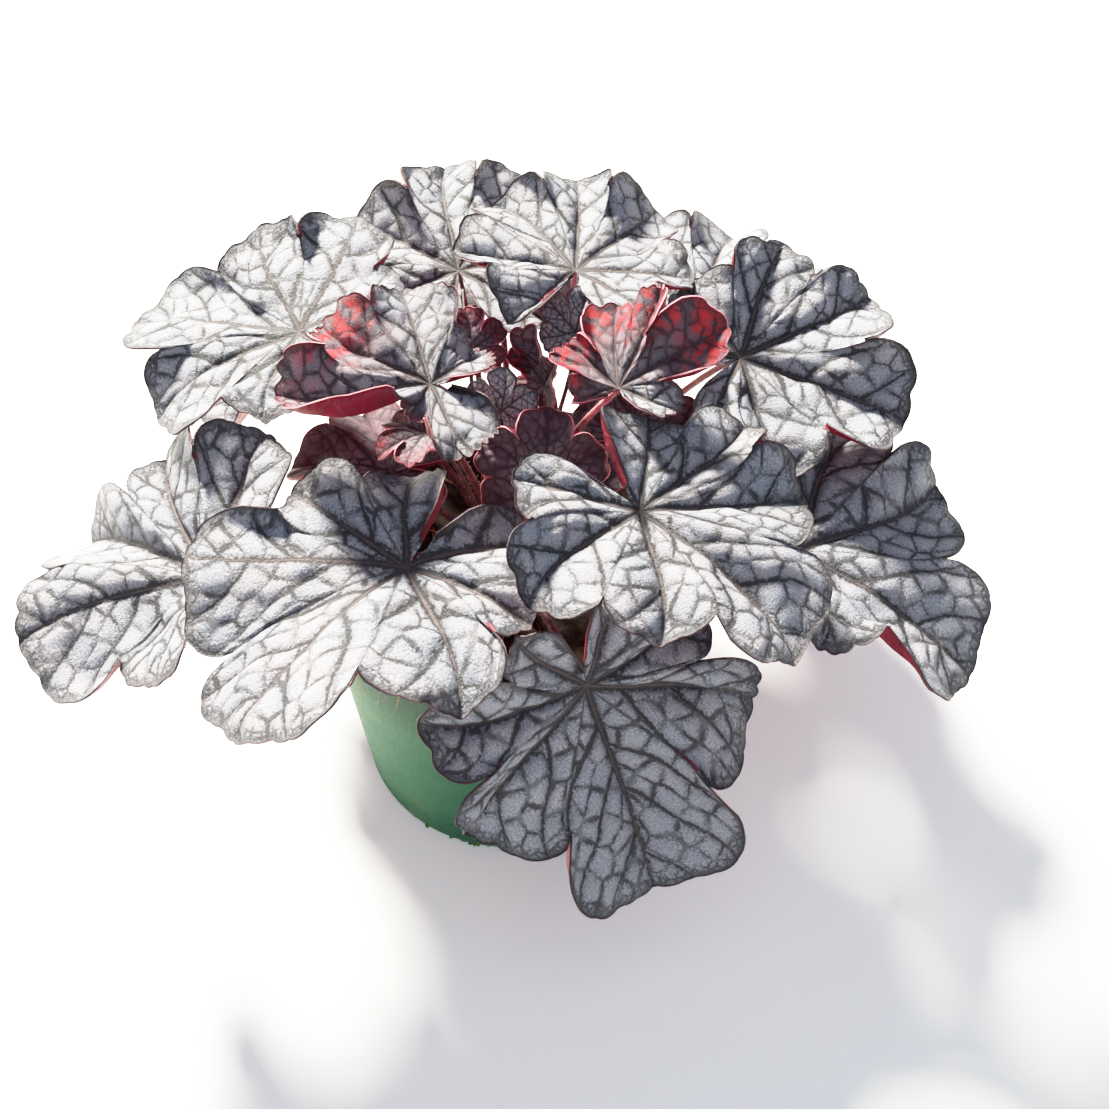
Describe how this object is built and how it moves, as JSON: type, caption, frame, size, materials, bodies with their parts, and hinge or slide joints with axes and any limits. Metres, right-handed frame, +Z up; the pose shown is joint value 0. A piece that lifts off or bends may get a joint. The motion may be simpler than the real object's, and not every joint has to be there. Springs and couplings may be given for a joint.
{
  "type": "heuchera plant in a nursery pot",
  "caption": "Heuchera (coral bells) with lobed, silver, dark-veined leaves and wine-red young leaves, growing from a crown in a round green nursery pot.",
  "frame": {"origin": "centre of the pot's underside, on the surface that it stands on", "axes": "+Z up, -Y towards the viewer of the front, +X to that viewer's right"},
  "size_m": [0.365, 0.3192, 0.2394],
  "materials": {
    "pot_plastic": "smooth sage-green moulded plastic with a soft sheen, a little moss and soil on it",
    "potting_soil": "dark crumbly peat and bark with pale root fibres",
    "crown_wood": "short scaly brown crown",
    "silver_leaf": "puckered silver-lilac upper face, dark plum veins and margins, wine-red underside",
    "young_leaf": "puckered plum-red upper face with a silver bloom, dark veins and a crimson margin"
  },
  "bodies": {
    "root": {"pot": "pot_plastic", "soil": "potting_soil", "crown": "crown_wood", "leaf_front_hanging": "silver_leaf", "leaf_front_left": "silver_leaf", "leaf_front_right": "silver_leaf", "leaf_far_left": "silver_leaf", "leaf_far_right": "silver_leaf", "leaf_left": "silver_leaf", "leaf_back_left": "silver_leaf", "leaf_back_middle": "silver_leaf", "leaf_right": "silver_leaf", "leaf_right_low": "silver_leaf", "leaf_back_right": "silver_leaf", "leaf_rear_left": "silver_leaf", "leaf_rear_middle": "silver_leaf", "leaf_rear_right": "silver_leaf", "leaf_young_left": "young_leaf", "leaf_young_right": "young_leaf", "leaf_inner_left": "silver_leaf", "leaf_inner_right": "silver_leaf", "leaf_inner_middle": "silver_leaf", "leaf_inner_front": "silver_leaf", "leaf_young_brown": "young_leaf", "leaf_bud_left": "young_leaf", "leaf_bud_upright": "young_leaf", "leaf_bud_right": "young_leaf", "leaf_bud_pale": "young_leaf"}
  },
  "joints": []
}
